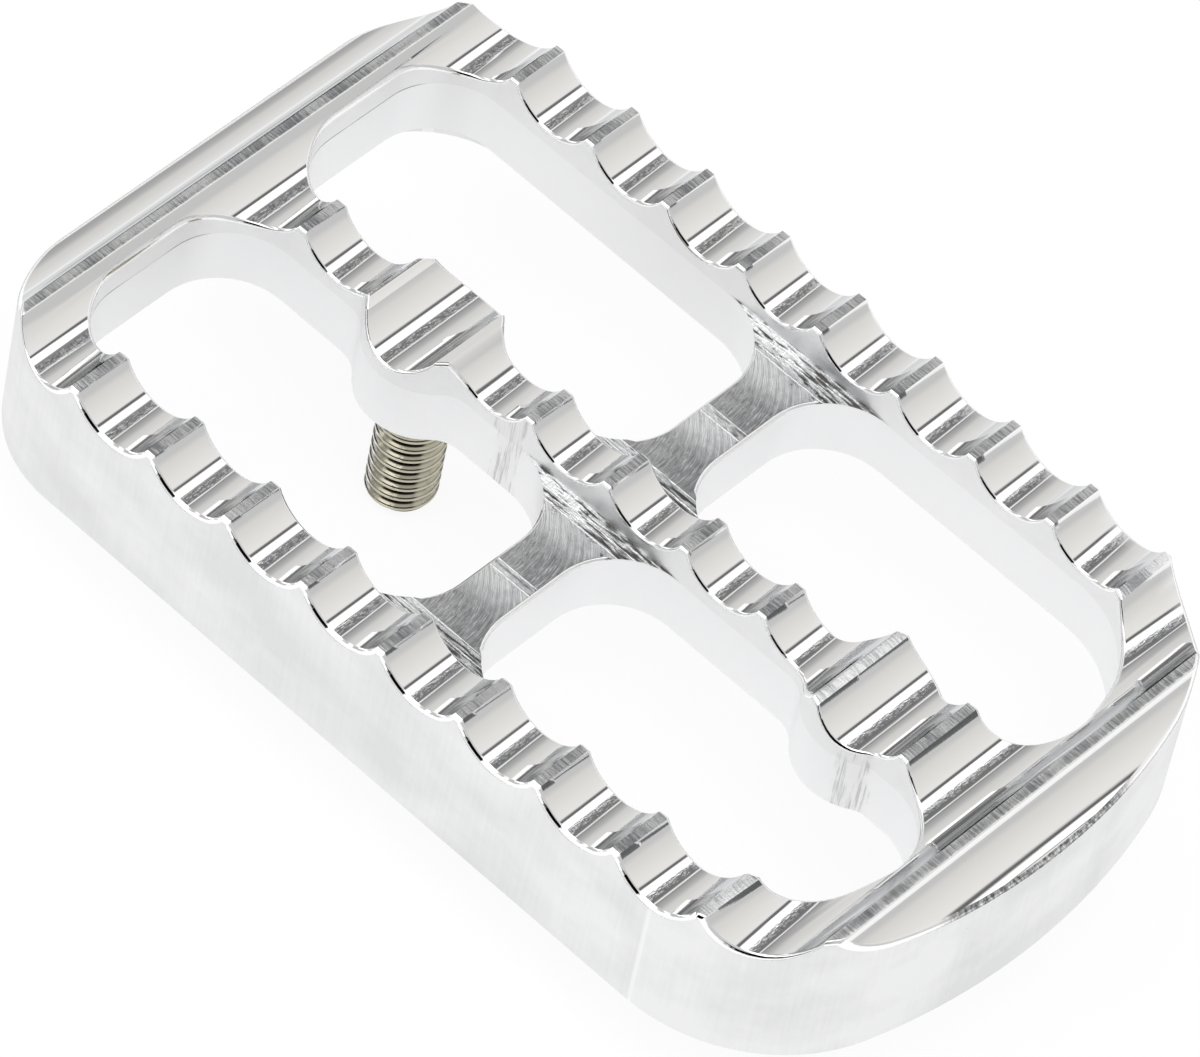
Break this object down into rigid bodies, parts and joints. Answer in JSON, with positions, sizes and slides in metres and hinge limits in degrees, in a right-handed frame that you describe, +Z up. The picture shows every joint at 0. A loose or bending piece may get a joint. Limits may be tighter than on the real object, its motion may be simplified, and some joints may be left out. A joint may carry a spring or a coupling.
{
  "type": "brake pedal cover",
  "caption": "Scalloped machined aluminium cover for a motorbike brake pedal, with open windows, a spine with round bosses, a recessed underside and a threaded mounting stud.",
  "frame": {"origin": "on the stud's axis, at the recessed face that seats on the pedal", "axes": "+X runs along the cover towards its rounded end, +Y runs across it, +Z runs up through the tread, away from the pedal"},
  "size_m": [0.0978, 0.0584, 0.0238],
  "materials": {
    "cover": "bright milled and tumbled",
    "stud": "nickel plated"
  },
  "bodies": {
    "root": {"pedal_cover": "cover", "mounting_stud": "stud"}
  },
  "joints": []
}
